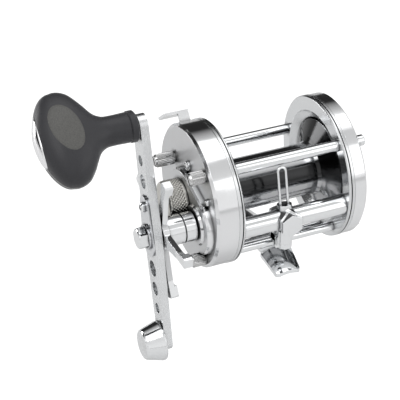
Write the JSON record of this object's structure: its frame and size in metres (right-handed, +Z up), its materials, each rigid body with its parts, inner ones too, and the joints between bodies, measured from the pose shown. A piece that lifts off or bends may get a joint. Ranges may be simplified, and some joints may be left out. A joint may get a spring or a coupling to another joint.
{
  "type": "trolling reel",
  "caption": "Round-frame level-wind trolling reel with star drag, counterweighted single-knob handle, free-spool lever, click and saddle foot.",
  "frame": {"origin": "centre of the foot's flat underside, midway between its four screws, straight below the spool axis", "axes": "+X along the spool axis to the palm side, the handle is on the -X side; -Y towards the line guide, where the line leaves; +Z up, away from the rod"},
  "size_m": [0.1322, 0.0746, 0.1136],
  "materials": {
    "chrome": "polished, mirror bright",
    "satin_steel": "fine satin",
    "dark_spool": "dark polished anodised",
    "brass": "machined",
    "charcoal_grip": "fine moulded texture",
    "badge": "polished",
    "fibre": "pressed fibre",
    "nylon": "moulded",
    "spring_steel": "drawn wire"
  },
  "bodies": {
    "frame": {"gear_side_ring": "chrome", "palm_side_ring": "chrome", "frame_pillars": "chrome", "level_wind_guide_bar": "chrome", "foot": "chrome", "foot_screws": "chrome", "worm_shield": "chrome", "worm_bushes": "brass", "bridge_plate": "satin_steel", "gear_side_cover": "chrome", "cover_screws": "chrome", "thumb_screws": "chrome", "drive_shaft_bush": "brass", "spool_bearings": "satin_steel", "palm_cover": "chrome", "palm_screws": "chrome", "brake_drum": "brass", "clutch_springs": "spring_steel", "dog_spring": "spring_steel"},
    "handle": {"drive_shaft": "satin_steel", "main_gear": "brass", "drag_metal_washers": "satin_steel", "drag_fibre_washers": "fibre", "drag_spring_washers": "spring_steel", "drag_sleeve": "satin_steel", "ratchet_wheel": "satin_steel", "level_wind_drive_gear": "brass", "handle_arm": "chrome", "handle_nut": "chrome", "nut_retainer": "chrome", "retainer_screw": "chrome", "knob_spindle": "satin_steel", "counterweight": "chrome", "counterweight_rivet": "chrome"},
    "star": {"star_drag": "chrome"},
    "star_nut": {"star_nut": "brass"},
    "knob": {"knob_grip": "charcoal_grip", "knob_collar": "charcoal_grip", "knob_badge": "badge"},
    "spool": {"spool": "dark_spool", "spool_shaft": "satin_steel", "spool_drive_pin": "satin_steel", "click_wheel": "brass", "brake_holder": "satin_steel"},
    "brake_block_a": {"brake_block_a": "fibre"},
    "brake_block_b": {"brake_block_b": "fibre"},
    "yoke": {"clutch_yoke": "satin_steel"},
    "pinion": {"pinion": "brass"},
    "clutch_lever": {"clutch_lever": "chrome"},
    "cast_cap": {"cast_control_cap": "chrome", "cap_friction_disc": "fibre"},
    "worm": {"worm_shaft": "satin_steel", "worm_cog": "nylon"},
    "carriage": {"guide_carriage": "chrome", "line_guide_wire": "chrome", "pawl_cap": "chrome"},
    "pawl": {"level_wind_pawl": "brass"},
    "dog": {"anti_reverse_dog": "satin_steel"},
    "clicker": {"click_button": "dark_spool", "click_tongue": "brass"}
  },
  "joints": [
    {"name": "handle_turn", "type": "hinge", "parent": "frame", "child": "handle", "pos_m": [0, -0.01405, 0.02439], "axis": [1, 0, 0], "continuous": true},
    {"name": "knob_spin", "type": "hinge", "parent": "handle", "child": "knob", "pos_m": [0, -0.00533, 0.06925], "axis": [1, 0, 0], "continuous": true},
    {"name": "star_turn", "type": "hinge", "parent": "handle", "child": "star", "pos_m": [0, -0.01405, 0.02439], "axis": [1, 0, 0], "range_deg": [-150, 150]},
    {"name": "star_nut_slide", "type": "slide", "parent": "star", "child": "star_nut", "axis": [1, 0, 0], "range_m": [-0.00035, 0.00035]},
    {"name": "spool_turn", "type": "hinge", "parent": "frame", "child": "spool", "pos_m": [0, 0, 0.0292], "axis": [1, 0, 0], "continuous": true},
    {"name": "brake_block_a_slide", "type": "slide", "parent": "spool", "child": "brake_block_a", "axis": [0, 1, 0], "range_m": [0, 0.0032]},
    {"name": "brake_block_b_slide", "type": "slide", "parent": "spool", "child": "brake_block_b", "axis": [0, -1, 0], "range_m": [0, 0.0032]},
    {"name": "clutch_press", "type": "slide", "parent": "frame", "child": "clutch_lever", "axis": [0, -0.6018, -0.7986], "range_m": [0, 0.0035]},
    {"name": "yoke_slide", "type": "slide", "parent": "frame", "child": "yoke", "axis": [-1, 0, 0], "range_m": [0, 0.0014], "deforming": ["clutch_springs"]},
    {"name": "pinion_turn", "type": "hinge", "parent": "yoke", "child": "pinion", "pos_m": [0, 0, 0.0292], "axis": [1, 0, 0], "continuous": true},
    {"name": "cast_cap_turn", "type": "hinge", "parent": "frame", "child": "cast_cap", "pos_m": [0, 0, 0.0292], "axis": [1, 0, 0], "range_deg": [-180, 180]},
    {"name": "worm_turn", "type": "hinge", "parent": "frame", "child": "worm", "pos_m": [0, -0.0243, 0.02411], "axis": [1, 0, 0], "continuous": true},
    {"name": "carriage_slide", "type": "slide", "parent": "frame", "child": "carriage", "axis": [1, 0, 0], "range_m": [-0.0145, 0.0205]},
    {"name": "pawl_swivel", "type": "hinge", "parent": "carriage", "child": "pawl", "pos_m": [-0.003, -0.0237, 0.02411], "axis": [0, 0, 1], "range_deg": [-25, 25]},
    {"name": "dog_swing", "type": "hinge", "parent": "frame", "child": "dog", "pos_m": [0, -0.00974, 0.01255], "axis": [1, 0, 0], "range_deg": [-10, 5]},
    {"name": "click_slide", "type": "slide", "parent": "frame", "child": "clicker", "axis": [0, 0, -1], "range_m": [0, 0.003]}
  ],
  "couplings": [
    {"joint": "spool_turn", "follows": "handle_turn", "ratio": -5},
    {"joint": "pinion_turn", "follows": "handle_turn", "ratio": -5},
    {"joint": "worm_turn", "follows": "handle_turn", "ratio": -2.4167},
    {"joint": "yoke_slide", "follows": "clutch_press", "ratio": 0.4},
    {"joint": "star_nut_slide", "follows": "star_turn", "m_per_rad": 0.00011937}
  ]
}
